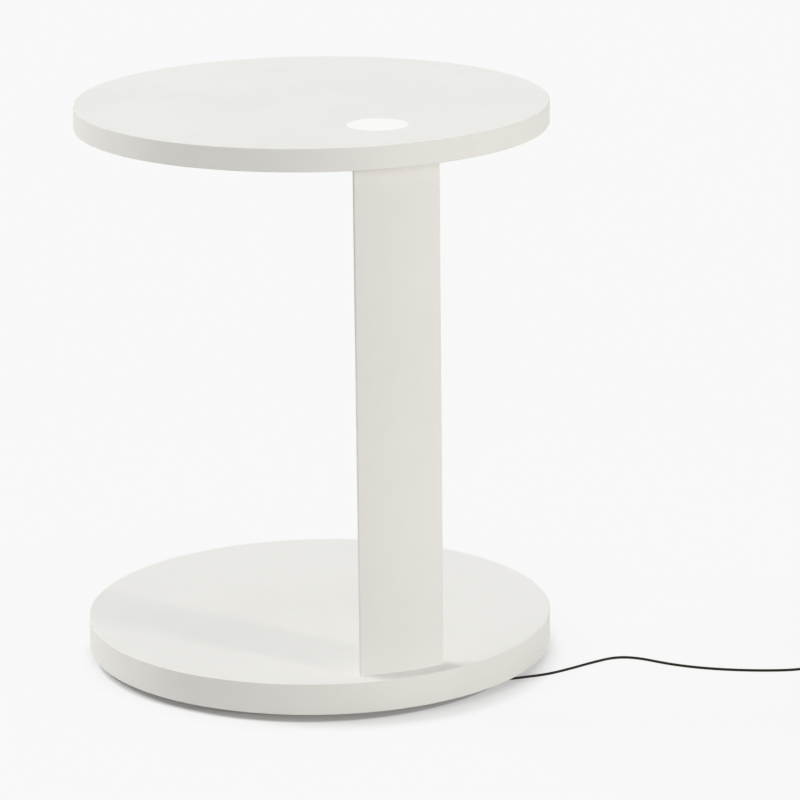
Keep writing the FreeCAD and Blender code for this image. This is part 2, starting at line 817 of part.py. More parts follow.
# Leads inside the table, the terminal block on the cover, and the gland with its nut.
def make_wiring():
    lead_top = under_top + size("lead_rise")
    lead_low = cover_top + size("lead_drop")
    block_left = gland_x - size("terminal_aside") - size("terminal_length") / 2
    block_right = block_left + size("terminal_length")
    stem_top = cover_top + size("gland_rise")
    main, radii = tube_path([
        point(lamp_x, lamp_y - cup_outer + size("cup_wall") / 2, lead_top),
        point(lamp_x, lead_y, lead_top),
        point(lamp_x, lead_y, lead_low),
        point(block_left - size("lead_bend"), gland_y, lead_low),
        point(block_left, gland_y, lead_low),
    ], size("lead_bend").number)
    print("inner lead radii:", [round(radius, 1) for radius in radii])
    short, radii = tube_path([
        point(gland_x, gland_y, stem_top),
        point(gland_x, gland_y, stem_top + size("lead_bend")),
        point(block_right + size("lead_bend"), gland_y, stem_top + size("lead_bend")),
        point(block_right + size("lead_bend"), gland_y, lead_low),
        point(block_right, gland_y, lead_low),
    ], size("cord_diameter").number)
    print("gland lead radii:", [round(radius, 1) for radius in radii])
    leads = keep(doc.addObject("Part::Feature", "inner_leads"), "inner_leads")
    leads.Shape = Part.makeCompound([tube(main, "inner lead"), tube(short, "gland lead")])

    terminal = keep(doc.addObject("Part::Box", "terminal_block"), "terminal_block")
    bind(terminal, "Length", size("terminal_length"))
    bind(terminal, "Width", size("terminal_width"))
    bind(terminal, "Height", size("terminal_height"))
    place(terminal, block_left, gland_y - size("terminal_width") / 2, cover_top)

    stem = doc.addObject("Part::Cylinder", "gland_stem_part")
    bind(stem, "Radius", size("gland_stem") / 2)
    bind(stem, "Height", stem_top - size("gland_axis"))
    place(stem, gland_x, gland_y, size("gland_axis"))
    flange = doc.addObject("Part::Cylinder", "gland_flange_part")
    bind(flange, "Radius", size("gland_flange") / 2)
    bind(flange, "Height", size("gland_flange_thickness"))
    place(flange, gland_x, gland_y, cover_low - size("gland_flange_thickness"))
    nose = doc.addObject("Part::Cone", "gland_nose_part")
    bind(nose, "Radius1", size("gland_nose_root"))
    bind(nose, "Radius2", size("gland_nose_tip"))
    bind(nose, "Height", size("gland_nose"))
    sideways = Rotation(Vector(0, 0, 1), size("gland_angle").number) * Rotation(Vector(0, 1, 0), 90)
    nose.Placement = Placement(point(gland_x, gland_y, size("gland_axis")), sideways)
    elbow = doc.addObject("Part::Sphere", "gland_elbow_part")
    bind(elbow, "Radius", size("gland_nose_root"))
    place(elbow, gland_x, gland_y, size("gland_axis"))
    gland = keep(doc.addObject("Part::MultiFuse", "cord_gland"), "cord_gland")
    gland.Shapes = [stem, flange, nose, elbow]
    gland_bore = size("gland_stem") / 2 + size("thread_gap")
    nut = hexagon("gland_nut", size("gland_nut_width"), gland_bore, size("gland_nut_height"))
    keep(nut, "gland_nut")
    place(nut, gland_x, gland_y, cover_top)


# Cord from the gland to the switch.
def make_lead():
    angle = math.radians(size("gland_angle").number)
    away = Vector(math.cos(angle), math.sin(angle), 0)
    tip = point(gland_x, gland_y, size("gland_axis")) + away * size("gland_nose").number
    outside = tip + away * size("exit_run").number
    route = [point(gland_x + x, gland_y + y, z) for x, y, z in LEAD_ROUTE]
    approach = row_place.multVec(point(-size("entry_run"), 0, size("switch_axis")))
    entry = row_place.multVec(point(0, 0, size("switch_axis")))
    wire, radii = tube_path([tip, outside] + route + [approach, entry])
    print("lead radii:", [round(radius, 1) for radius in radii])
    lead = keep(doc.addObject("Part::Feature", "cord_lead"), "cord_lead")
    lead.Shape = tube(wire, "cord_lead")


# In-line switch: two shells, a rocker on trunnions and two screws, along the row.
def make_switch():
    length = size("switch_length")
    half = size("switch_width") / 2
    split = size("switch_split")
    high = size("switch_height")
    middle = length / 2
    screws = [(middle - size("switch_screw_spread"), dim(0)), (middle + size("switch_screw_spread"), dim(0))]
    well_side = size("well_width") / 2
    well_ends = (middle - size("well_length") / 2, middle + size("well_length") / 2)
    pivot = high - size("rocker_pivot")

    lower = new_body("switch_lower_shell")
    sketch = new_sketch(lower, "XY_Plane")
    block(sketch, 0, -half, length, half)
    pad(lower, sketch, split)
    round_edges(lower, size("switch_corner"), upright)
    sketch = new_sketch(lower, "XY_Plane", size("switch_wall"))
    block(sketch, well_ends[0], -well_side, well_ends[1], well_side)
    pocket(lower, sketch)
    holes(lower, screws, size("switch_screw_diameter") / 2 + size("thread_gap"))
    sketch = new_sketch(lower, "XY_Plane")
    for x, y in screws:
        circle(sketch, x, y, size("switch_screw_head_diameter") / 2 + size("hole_gap") / 2)
    pocket(lower, sketch, size("switch_screw_sink"))

    upper = new_body("switch_upper_shell")
    sketch = new_sketch(upper, "XY_Plane", split)
    block(sketch, 0, -half, length, half)
    pad(upper, sketch, high - split)
    round_edges(upper, size("switch_corner"), upright)
    round_edges(upper, size("switch_edge"), at_height(high))
    sketch = new_sketch(upper, "XY_Plane", split)
    block(sketch, well_ends[0], -well_side, well_ends[1], well_side)
    pocket(upper, sketch)
    trunnion = size("trunnion_diameter") / 2
    rocker_half = well_side - size("rocker_gap")
    trunnion_end = rocker_half + size("trunnion_reach")
    sketch = new_sketch(upper, "XZ_Plane")
    circle(sketch, middle, pivot, trunnion + size("trunnion_gap"))
    pocket(upper, sketch, 2 * (trunnion_end + size("rocker_gap")), middle=True)
    sketch = new_sketch(upper, "XY_Plane", split)
    for x, y in screws:
        circle(sketch, x, y, size("switch_screw_diameter") / 2 + size("thread_gap"))
    pocket(upper, sketch, size("switch_screw_length") - split + size("switch_screw_sink"))

    rocker = new_body("switch_rocker")
    end = size("rocker_length") / 2
    crown = size("rocker_crown")
    sketch = new_sketch(rocker, "XZ_Plane")
    outline(sketch, [(-end, crown), (0, crown - size("rocker_dip")), (end, crown),
                     (end - size("rocker_gap"), -size("rocker_depth")),
                     (size("rocker_gap") - end, -size("rocker_depth"))])
    pad(rocker, sketch, 2 * rocker_half, middle=True)
    sketch = new_sketch(rocker, "XZ_Plane")
    circle(sketch, 0, 0, trunnion)
    pad(rocker, sketch, 2 * trunnion_end, middle=True)

    for shell in (lower, upper):
        shell.Placement = row_place
    tilt = Rotation(Vector(0, 1, 0), size("rocker_tilt").number)
    rocker.Placement = row_place * Placement(point(middle, 0, pivot), tilt)
    sink = size("switch_screw_sink")
    screw = bolt("switch_screw_pattern", "switch_screw", sink, size("switch_screw_length"))
    fixings = group("switch_screws", screw, screws, sink)
    fixings.Placement = row_place


def coil_frame():
    """Where the coil's spiral is centred in the row, its outer radius, and its number of turns."""
    turns = int(size("coil_turns").number)
    outer = size("coil_middle") / 2 + size("coil_pitch") * turns / (2 * COIL_LAYERS)
    return size("coil_along").number, -outer.number, outer.number, turns


def coil_point(turn):
    """A point of the coil, a number of turns from its start, in the row."""
    along, aside, outer, turns = coil_frame()
    pitch = size("coil_pitch").number
    layer_turns = turns / COIL_LAYERS
    layer = min(int(turn / layer_turns), COIL_LAYERS - 1)
    part = turn - layer * layer_turns
    inward = layer % 2 == 0
    radius = outer - pitch * (part if inward else layer_turns - part)
    climbs = 0.0
    for step in range(1, COIL_LAYERS):
        share = min(1.0, max(0.0, (turn - step * layer_turns) * 2 + 0.5))
        climbs += share * share * (3 - 2 * share)
    angle = math.pi / 2 - 2 * math.pi * turn
    rise = size("coil_lift").number + pitch * climbs
    return Vector(along + radius * math.cos(angle), aside + radius * math.sin(angle), rise)


def coil_heading(turn):
    """The direction of the coil there."""
    step = 1e-4
    turns = coil_frame()[3]
    ahead = coil_point(min(turn + step, turns))
    behind = coil_point(max(turn - step, 0.0))
    return (ahead - behind).normalize()


def arc_from(start, heading, end, backwards=False):
    """The circular arc that leaves a point in a direction and reaches another, or that arc run backwards."""
    chord = end - start
    normal = (heading.cross(chord)).cross(heading).normalize()
    radius = chord.Length ** 2 / (2 * chord.dot(normal))
    centre = start + normal * radius
    middle = centre + ((start + end) * 0.5 - centre).normalize() * radius
    ends = (end, start) if backwards else (start, end)
    return Part.Arc(ends[0], middle, ends[1]).toShape()


def biarc(start, heading, end, leaving):
    """Two arcs that join two points smoothly, leaving and arriving in the given directions."""
    gap = end - start
    both = heading + leaving
    square = 2 * (1 - heading.dot(leaving))
    across = gap.dot(both)
    reach = (math.sqrt(across ** 2 + square * gap.dot(gap)) - across) / square
    join = (start + end + (heading - leaving) * reach) * 0.5
    return [arc_from(start, heading, join), arc_from(end, leaving * -1, join, backwards=True)]


def least_gap(points, skip, radius):
    """The least clear distance between parts of the coil that lie more than skip points apart."""
    least = 1e9
    for index, here in enumerate(points):
        for there in points[index + skip:]:
            least = min(least, here.distanceToPoint(there))
    return least - 2 * radius


# Coil: one tube that spirals in and out in its layers, held by a tie.
def make_coil():
    along, aside, outer, turns = coil_frame()
    diameter = size("cord_diameter").number
    steps = [index / 4 for index in range(4 * turns + 1)]
    start = coil_point(0.0)
    finish = coil_point(float(turns))
    before = start - coil_heading(0.0) * diameter
    after = finish + coil_heading(float(turns)) * diameter
    edges = [Part.LineSegment(before, start).toShape()]
    for here, there in zip(steps, steps[1:]):
        edges += biarc(coil_point(here), coil_heading(here), coil_point(there), coil_heading(there))
    edges.append(Part.LineSegment(finish, after).toShape())
    coil = keep(doc.addObject("Part::Feature", "cord_coil"), "cord_coil")
    coil.Shape = tube(Part.Wire(edges), "cord_coil")
    coil.Placement = row_place
    per_turn = 48
    spots = [coil_point(index / per_turn) for index in range(turns * per_turn + 1)]
    gap = least_gap(spots, per_turn // 2, cord_radius.number)
    print(f"cord_coil: least gap to itself {gap:.2f}")
    if gap < 0.4:
        raise RuntimeError("the coil's turns lie too close")

    inner = outer - size("coil_pitch").number * turns / COIL_LAYERS
    low = dim(0)
    high = size("coil_lift") + size("coil_pitch") * (COIL_LAYERS - 1) + cord_radius + size("tie_gap")
    half = size("tie_width") / 2
    bow = inner - math.sqrt(max(inner ** 2 - half.number ** 2, 0.0))
    near_side = inner - bow - cord_radius - size("tie_gap")
    far_side = outer + cord_radius + size("tie_gap")
    thick = size("tie_thickness")
    tie = new_body("coil_tie")
    sketch = new_sketch(tie, "XZ_Plane")
    block(sketch, near_side - thick, low, far_side + thick, high + thick)
    pad(tie, sketch, size("tie_width"), middle=True)
    round_edges(tie, 2 * thick, lambda edge: abs(edge.tangentAt(edge.FirstParameter).y) > 0.999)
    sketch = new_sketch(tie, "XZ_Plane")
    block(sketch, near_side, low + thick, far_side, high)
    pocket(tie, sketch, 2 * size("tie_width"), middle=True)
    tie.Placement = row_place * Placement(Vector(along, aside, 0), Rotation(Vector(0, 0, 1), -90))

    link_start = point(size("switch_length"), 0, size("switch_axis"))
    link_out = point(size("switch_length") + size("link_run"), 0, size("switch_axis"))
    link_in = before - coil_heading(0.0) * size("link_run").number
    route = [Vector(*spot) for spot in LINK_ROUTE]
    wire, radii = tube_path([link_start, link_out] + route + [link_in, before])
    print("link radii:", [round(radius, 1) for radius in radii])
    link = keep(doc.addObject("Part::Feature", "cord_link"), "cord_link")
    link.Shape = tube(wire, "cord_link")
    link.Placement = row_place
    tail_out = after + coil_heading(float(turns)) * size("tail_run").number
    tail_in = point(size("plug_along") - size("tail_run"), size("plug_aside"), size("plug_height") / 2)
    boot = point(size("plug_along"), size("plug_aside"), size("plug_height") / 2)
    wire, radii = tube_path([after, tail_out] + [Vector(*spot) for spot in TAIL_ROUTE] + [tail_in, boot])
    print("tail radii:", [round(radius, 1) for radius in radii])
    tail = keep(doc.addObject("Part::Feature", "cord_tail"), "cord_tail")
    tail.Shape = tube(wire, "cord_tail")
    tail.Placement = row_place


# Plug: a boot, two shells of the driver, and two pins.
def make_plug():
    lift = size("plug_height") / 2
    origin = row_place * Placement(point(size("plug_along"), size("plug_aside"), 0), Rotation())
    sideways = Rotation(Vector(0, 1, 0), 90)
    boot = keep(doc.addObject("Part::Cone", "plug_boot"), "plug_boot")
    bind(boot, "Radius1", size("boot_tip"))
    bind(boot, "Radius2", size("boot_root"))
    bind(boot, "Height", size("boot_length"))
    boot.Placement = origin * Placement(point(0, 0, lift), sideways)

    half = size("plug_width") / 2
    split = size("boot_length") + size("plug_split")
    face = size("boot_length") + size("plug_length")
    shells = (("plug_rear_shell", size("boot_length"), split), ("plug_front_shell", split, face))
    for label, low, high in shells:
        shell = new_body(label)
        sketch = new_sketch(shell, "XY_Plane")
        block(sketch, low, -half, high, half)
        pad(shell, sketch, size("plug_height"))
        outer_end = low if label == "plug_rear_shell" else high
        round_edges(shell, size("plug_round"), plug_edges(outer_end))
        shell.Placement = origin

    pin = new_body("pin_pattern", kept=False)
    sketch = new_sketch(pin, "YZ_Plane", face)
    for side in (-1, 1):
        circle(sketch, side * size("pin_spread") / 2, lift, size("pin_diameter") / 2)
    pin.AllowCompound = True
    pad(pin, sketch, size("pin_length"))
    pins = group("plug_pins", pin, [(0, 0)], 0)
    pins.Placement = origin


def plug_edges(end):
    """Picks a plug shell's long edges and those round its outer end."""
    def wanted(edge):
        box = edge.BoundBox
        along = abs(edge.tangentAt(edge.FirstParameter).x) > 0.999
        at_end = near(box.XMin, end.number) and near(box.XMax, end.number)
        return along or at_end
    return wanted


make_base()
make_column()
make_top()
make_lamp()
make_wiring()
make_lead()
make_switch()
make_coil()
make_plug()
doc.recompute()

for thing in doc.Objects:
    if "Invalid" in thing.State or "Error" in thing.State:
        raise RuntimeError(f"{thing.Label} failed: {thing.State}")
for label, thing in made.items():
    if thing.Shape.isNull() or not thing.Shape.isValid():
        raise RuntimeError(f"{label} has no valid shape")

os.makedirs("parts", exist_ok=True)
for label, thing in made.items():
    thing.Shape.exportStep(f"parts/{label}.step")
print(f"{len(made)} sub-parts")
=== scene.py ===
"""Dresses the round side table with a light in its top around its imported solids."""
import math

import bmesh
import bpy
from mathutils import Matrix, Vector


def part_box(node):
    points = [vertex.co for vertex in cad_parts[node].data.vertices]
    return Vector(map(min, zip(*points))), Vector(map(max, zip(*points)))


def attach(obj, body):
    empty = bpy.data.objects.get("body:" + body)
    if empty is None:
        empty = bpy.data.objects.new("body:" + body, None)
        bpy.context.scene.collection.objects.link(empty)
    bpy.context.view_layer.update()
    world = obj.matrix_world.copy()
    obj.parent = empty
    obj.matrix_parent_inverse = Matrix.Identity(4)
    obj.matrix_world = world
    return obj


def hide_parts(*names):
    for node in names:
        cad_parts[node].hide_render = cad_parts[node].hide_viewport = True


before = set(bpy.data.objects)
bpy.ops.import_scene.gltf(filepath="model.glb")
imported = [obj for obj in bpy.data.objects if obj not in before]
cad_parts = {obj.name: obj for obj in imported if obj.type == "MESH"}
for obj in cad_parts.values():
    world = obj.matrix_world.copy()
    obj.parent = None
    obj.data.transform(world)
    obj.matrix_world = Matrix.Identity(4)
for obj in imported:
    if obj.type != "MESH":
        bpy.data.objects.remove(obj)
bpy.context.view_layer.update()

MM = 0.001

bl_info = {
    "name": "Side Table With Light",
    "version": (1, 0, 0),
    "blender": (4, 5, 0),
    "location": "3D View > Sidebar > Side Table",
    "description": "Finishes, cord and stage for a round side table with a light in its top",
    "category": "Object",
}

# Nodes by finish.
COATED = ("top_shell", "base_shell", "column_shell", "base_cover", "top_under_plate")
ZINC = (
    "ballast_plate", "ballast_nuts", "base_posts", "base_cover_screws", "glide_screws", "column_foot_plate",
    "column_head_plate", "base_bolts", "base_washers", "head_bolts", "head_washers", "top_posts",
    "top_screws", "lamp_screws", "switch_screws",
)
ALLOY = ("top_rib_left", "top_rib_right", "lamp_cup")
FITTINGS = ("cord_gland", "gland_nut", "plug_boot")
SWITCH_SHELLS = ("switch_lower_shell", "switch_upper_shell")
PLUG_SHELLS = ("plug_rear_shell", "plug_front_shell")

# Plain plastics by node: the finish, its colour and its roughness.
LIGHT_PLASTICS = {
    "diffuser_seal": ("seal_rubber", (0.55, 0.54, 0.52), 0.7),
    "lamp_reflector": ("reflector_white", (0.88, 0.88, 0.87), 0.25),
    "led_board": ("board_mask", (0.82, 0.82, 0.80), 0.35),
    "led_chips": ("chip_phosphor", (0.86, 0.72, 0.25), 0.3),
    "terminal_block": ("terminal_plastic", (0.75, 0.74, 0.71), 0.5),
}
GLIDE_PLASTIC = ("glide_nylon", (0.10, 0.10, 0.10), 0.55)

# The row in which the put-away cord lies: its start, and its heading in degrees.
ROW_START = Vector((0.478979, -0.267379, 0.0))
ROW_ANGLE = 66.9

# Middle of the light, from its lens, and the radius of what shows of it.
LAMP = sum((Vector(corner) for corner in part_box("diffuser")), Vector()) / 2
LAMP_RADIUS = 0.032

# Route of the cord from the gland to the switch, in millimetres.
LEAD_ROUTE = [
    (99.06, -201.00, 5.2),
    (119.80, -204.28, 5.2),
    (147.28, -205.18, 4.4),
    (176.78, -204.78, 3.4),
    (207.68, -196.18, 2.4),
    (237.98, -186.28, 1.7),
    (268.98, -179.98, 1.5),
    (290.38, -193.38, 1.5),
    (309.18, -223.18, 1.5),
    (333.18, -248.58, 1.5),
    (362.88, -270.58, 1.5),
    (396.48, -288.68, 1.5),
    (426.68, -299.38, 1.5),
    (452.18, -298.28, 1.5),
    (468.48, -288.98, 3.0),
    (474.27, -278.42, 4.6),
    (478.98, -267.38, 4.6),
]

# Routes in the row, in millimetres: along it, to its left, and up.
LINK_ROUTE = [(46.0, 0.0, 4.6), (55.0, 0.0, 4.6), (66.0, 1.2, 3.6), (79.0, 0.29, 2.7)]
TAIL_ROUTE = [(106.6, 0.39, 12.6), (122.0, -12.0, 13.2), (130.0, -16.0, 13.5), (143.0, -16.0, 13.5)]

# The coil, in millimetres: its place along the row, the mean radius of its turns, the step from turn to turn
# and from layer to layer, and the height of its lowest turns. Then come its turns, layers and points a turn.
COIL_ALONG = 90.8
COIL_MIDDLE = 16.0
COIL_PITCH = 3.3
COIL_LIFT = 2.7
COIL_TURNS = 13
COIL_LAYERS = 4
COIL_STEPS = 24

# Fineness of the cords' curves: round the cord, the spline's order, and steps from point to point.
CORD_ROUND = 5
CORD_ORDER = 3
CORD_STEPS = 6

# Places of marks, in millimetres: the plug's face, middle and parting line in the row, the height of the
# switch's parting line, and the rocker's dot along the row.
PLUG_FACE = 201.0
PLUG_ASIDE = -16.0
PLUG_SPLIT = 175.0
SWITCH_SPLIT = 5.0
ROCKER_DOT = 26.6

# Edges of those marks, in metres: where each starts to fade and where it ends.
SEAM_EDGE = (0.00008, 0.0002)
DOT_EDGE = (0.0012, 0.0014)
SLEEVE_EDGE = (0.0096, 0.0100)

# A Mix node's sockets for colours, by number.
MIX_SHARE = 0
MIX_FIRST = 6
MIX_SECOND = 7
MIX_COLOUR = 2


class Value:
    """A socket whose arithmetic adds Math nodes to its finish."""

    def __init__(self, nodes, socket):
        self.nodes = nodes
        self.socket = socket

    def math(self, operation, *others, clamp=False):
        """This value and others through a Math node."""
        settings = {"operation": operation, "use_clamp": clamp}
        return self.nodes.value("ShaderNodeMath", settings, dict(enumerate((self, *others))))

    def __add__(self, other):
        return self.math("ADD", other)

    __radd__ = __add__

    def __sub__(self, other):
        return self.math("SUBTRACT", other)

    def __rsub__(self, other):
        return self.nodes.value("ShaderNodeMath", {"operation": "SUBTRACT"}, {0: other, 1: self})

    def __mul__(self, other):
        return self.math("MULTIPLY", other)

    __rmul__ = __mul__

    def __truediv__(self, other):
        return self.math("DIVIDE", other)

    def __pow__(self, other):
        return self.math("POWER", other)

    def clamp(self):
        """The value kept between 0 and 1."""
        return self.math("ADD", 0.0, clamp=True)

    def smooth(self, low, high):
        """0 below low, 1 above high, and smooth between them."""
        sockets = {"Value": self, "From Min": low, "From Max": high}
        return self.nodes.value("ShaderNodeMapRange", {"interpolation_type": "SMOOTHSTEP"}, sockets)


class Nodes:
    """A node tree that is filled node by node."""

    def __init__(self, tree):
        self.tree = tree
        tree.nodes.clear()

    def add(self, kind, settings=None, sockets=None):
        """Adds a node: its settings first, then the values or links of its sockets."""
        made = self.tree.nodes.new(kind)
        for name, setting in (settings or {}).items():
            setattr(made, name, setting)
        for name, given in (sockets or {}).items():
            socket = made.inputs[name]
            if isinstance(given, Value):
                given = given.socket
            if isinstance(given, bpy.types.NodeSocket):
                self.tree.links.new(given, socket)
            else:
                socket.default_value = given
        return made

    def value(self, kind, settings=None, sockets=None):
        """Adds a node and wraps its first output."""
        return Value(self, self.add(kind, settings, sockets).outputs[0])

    def place(self):
        """The place on the piece, in metres in the table's frame."""
        return self.add("ShaderNodeTexCoord").outputs["Object"]

    def axes(self, vector):
        """The three parts of a vector."""
        split = self.add("ShaderNodeSeparateXYZ", None, {0: vector})
        return [Value(self, socket) for socket in split.outputs]

    def noise(self, vector, scale, detail=2.0, roughness=0.5):
        """Soft noise about 0.5."""
        sockets = {"Vector": vector, "Scale": scale, "Detail": detail, "Roughness": roughness}
        return self.value("ShaderNodeTexNoise", {"noise_dimensions": "3D"}, sockets)

    def stretched(self, vector, scale):
        """A place scaled by axis, for marks that run one way."""
        return self.add("ShaderNodeMapping", None, {"Vector": vector, "Scale": scale}).outputs[0]

    def mix(self, share, first, second):
        """A colour between two."""
        sockets = {MIX_SHARE: share, MIX_FIRST: opaque(first), MIX_SECOND: opaque(second)}
        return self.add("ShaderNodeMix", {"data_type": "RGBA"}, sockets).outputs[MIX_COLOUR]

    def shades(self, share, colour, dark, pale):
        """A colour between a darker and a lighter shade of it."""
        return self.mix(share, scaled(colour, dark), scaled(colour, pale))

    def bump(self, height, distance, strength):
        """A normal that follows a height."""
        sockets = {"Height": height, "Distance": distance, "Strength": strength}
        return self.add("ShaderNodeBump", None, sockets).outputs[0]


def opaque(colour):
    """A colour with its alpha, or a link as it is."""
    if isinstance(colour, (Value, bpy.types.NodeSocket)):
        return colour
    return (*tuple(colour)[:3], 1.0)


class Finish(Nodes):
    """A material that is built node by node."""

    def __init__(self, name):
        self.material = bpy.data.materials.new(name)
        self.material.use_nodes = True
        super().__init__(self.material.node_tree)

    def shade(self, **sockets):
        """Ends the finish in a Principled shader with these sockets."""
        named = {name.replace("_", " "): given for name, given in sockets.items()}
        shader = self.add("ShaderNodeBsdfPrincipled", None, named)
        self.add("ShaderNodeOutputMaterial", None, {"Surface": shader.outputs[0]})
        return self.material


def distance(across, along, middle):
    """How far a place is from a middle, seen from above."""
    return ((across - middle.x) ** 2.0 + (along - middle.y) ** 2.0) ** 0.5


def scaled(colour, factor):
    """A colour made lighter or darker."""
    return tuple(min(1.0, part * factor) for part in tuple(colour)[:3])


# Waves a metre in the noises of the finishes, by axis where they differ. The tie's ribs are in radians.
COAT_DRIFT = 7.0
COAT_CLOUD = 38.0
LENS_MILK = 260.0
LENS_GRAIN = 1500.0
ZINC_SPANGLE = 700.0
ZINC_MARKS = (300.0, 300.0, 9000.0)
PLASTIC_GRAIN = 2900.0
PLASTIC_DRIFT = 60.0
CORD_DUST = 900.0
CORD_DRIFT = 45.0
CORD_GRAIN = 2600.0
TIE_RIBS = 5200.0
PIN_MARKS = 2500.0

# Heights of the finishes' bumps, in metres.
LENS_BUMP = 0.00001
ZINC_BUMP = 0.00002
PLASTIC_BUMP = 0.00002
CORD_BUMP = 0.00001
TIE_BUMP = 0.0001
PIN_BUMP = 0.00001

# Colours that no setting changes.
LENS_DARK = (0.90, 0.90, 0.885)
LENS_PALE = (0.93, 0.93, 0.92)
ZINC_COLOUR = (0.58, 0.58, 0.60)
ALLOY_COLOUR = (0.72, 0.72, 0.73)
SEAM_COLOUR = (0.004, 0.004, 0.004)
DOT_COLOUR = (0.62, 0.61, 0.58)
DUST_COLOUR = (0.30, 0.27, 0.23)
NICKEL_DARK = (0.66, 0.66, 0.65)
NICKEL_PALE = (0.80, 0.79, 0.77)
SLEEVE_COLOUR = (0.03, 0.027, 0.024)


def powder_coat(settings):
    """Satin powder coat: fine peel, and slow drifts of tone and gloss."""
    finish = Finish("powder_coat")
    place = finish.place()
    drift = finish.noise(place, COAT_DRIFT, 3.0)
    cloud = finish.noise(place, COAT_CLOUD)
    peel = finish.noise(place, 1.0 / settings.peel_size, 2.0, 0.55)
    speck = finish.noise(place, 3.2 / settings.peel_size, 1.0)
    tone = (drift * 0.7 + cloud * 0.3).smooth(0.35, 0.65)
    colour = finish.shades(tone, settings.colour, 0.985, 1.012)
    rough = settings.roughness + (cloud - 0.5) * 0.10 + (peel - 0.5) * 0.06
    normal = finish.bump(peel * 0.75 + speck * 0.25, settings.peel_depth, 0.6)
    return finish.shade(Base_Color=colour, Roughness=rough, Normal=normal)


def opal_lens(settings):
    """Opal plastic, lit from below: even over the chips and a little darker at its rim."""
    finish = Finish("opal_lens")
    place = finish.place()
    across, along = finish.axes(place)[:2]
    rim = (distance(across, along, LAMP) / LAMP_RADIUS).smooth(0.80, 1.0)
    milk = finish.noise(place, LENS_MILK)
    glow = finish.mix(rim, settings.colour, scaled(settings.colour, 0.82))
    colour = finish.mix(milk, LENS_DARK, LENS_PALE)
    normal = finish.bump(finish.noise(place, LENS_GRAIN, 1.0), LENS_BUMP, 0.4)
    return finish.shade(
        Base_Color=colour, Roughness=0.56 + milk * 0.10, Emission_Color=glow,
        Emission_Strength=settings.glow, Normal=normal,
    )


def bare_metal(name, colour):
    """Plated steel or plain alloy: fine spangle and turning marks."""
    finish = Finish(name)
    place = finish.place()
    cells = {"Vector": place, "Scale": ZINC_SPANGLE}
    spangle = finish.value("ShaderNodeTexVoronoi", {"feature": "F1"}, cells)
    marks = finish.noise(finish.stretched(place, ZINC_MARKS), 1.0)
    tone = finish.shades(spangle * 0.6 + marks * 0.4, colour, 0.82, 1.1)
    normal = finish.bump(marks, ZINC_BUMP, 0.5)
    return finish.shade(Base_Color=tone, Metallic=1.0, Roughness=0.30 + spangle * 0.15, Normal=normal)


def moulded(name, colour, roughness, mark=None, gloss=0.5):
    """Moulded plastic with a fine eroded grain, and a mark on it where one is given."""
    finish = Finish(name)
    place = finish.place()
    grain = finish.noise(place, PLASTIC_GRAIN, 2.0, 0.6)
    drift = finish.noise(place, PLASTIC_DRIFT)
    tone = finish.shades(drift, colour, 0.90, 1.10)
    if mark:
        share, paint = mark(finish)
        tone = finish.mix(share, tone, paint)
    rough = roughness + (grain - 0.5) * 0.16
    normal = finish.bump(grain, PLASTIC_BUMP, 0.7)
    return finish.shade(Base_Color=tone, Roughness=rough, Normal=normal, Specular_IOR_Level=gloss)


def along_row(finish, spot):
    """How far a place is along the row from a spot on it."""
    across, along = finish.axes(finish.place())[:2]
    angle = math.radians(ROW_ANGLE)
    return (across - spot.x) * math.cos(angle) + (along - spot.y) * math.sin(angle)


def parting_line(gap):
    """A fine dark line where two shells meet, given how far each place is from where they do."""
    return 1.0 - gap.math("ABSOLUTE").smooth(*SEAM_EDGE), SEAM_COLOUR


def switch_seam(finish):
    """The line round the switch, at one height."""
    up = finish.axes(finish.place())[2]
    return parting_line(up - SWITCH_SPLIT * MM)


def plug_seam(finish):
    """The line round the plug, at one place along the row."""
    return parting_line(along_row(finish, row_point(PLUG_SPLIT, 0.0, 0.0)))


def rocker_dot(finish):
    """A pale dot printed on the end that is pressed to switch on."""
    across, along = finish.axes(finish.place())[:2]
    reach = distance(across, along, row_point(ROCKER_DOT, 0.0, 0.0))
    return 1.0 - reach.smooth(*DOT_EDGE), DOT_COLOUR


def cord_jacket(settings):
    """Dark vinyl jacket with a fine grain and a little dust."""
    finish = Finish("cord_jacket")
    place = finish.place()
    dust = finish.noise(place, CORD_DUST, 3.0, 0.6).smooth(0.55, 0.8)
    drift = finish.noise(place, CORD_DRIFT)
    vinyl = finish.shades(drift, settings.colour, 0.85, 1.2)
    colour = finish.mix(dust * 0.12, vinyl, DUST_COLOUR)
    rough = 0.55 + dust * 0.20
    normal = finish.bump(finish.noise(place, CORD_GRAIN, 1.0), CORD_BUMP, 0.5)
    return finish.shade(Base_Color=colour, Roughness=rough, Normal=normal, Specular_IOR_Level=0.15)


def tie_webbing(colour):
    """Woven tie: over and under ribs across the band, its colour painted lighter on their crests and darker
    between them as shade.
    """
    finish = Finish("tie_webbing")
    place = finish.place()
    across, along, up = finish.axes(place)
    warp = ((across + along) * TIE_RIBS).math("SINE")
    weft = ((across - along + up) * TIE_RIBS).math("SINE")
    rib = warp * weft * 0.5 + 0.5
    # Painted shade: the colour follows the ribs' height, lighter on the crests and darker in the hollows
    # between them.
    tone = finish.shades(rib, colour, 0.7, 1.5)
    return finish.shade(Base_Color=tone, Roughness=0.80 - rib * 0.1, Normal=finish.bump(rib, TIE_BUMP, 0.6))


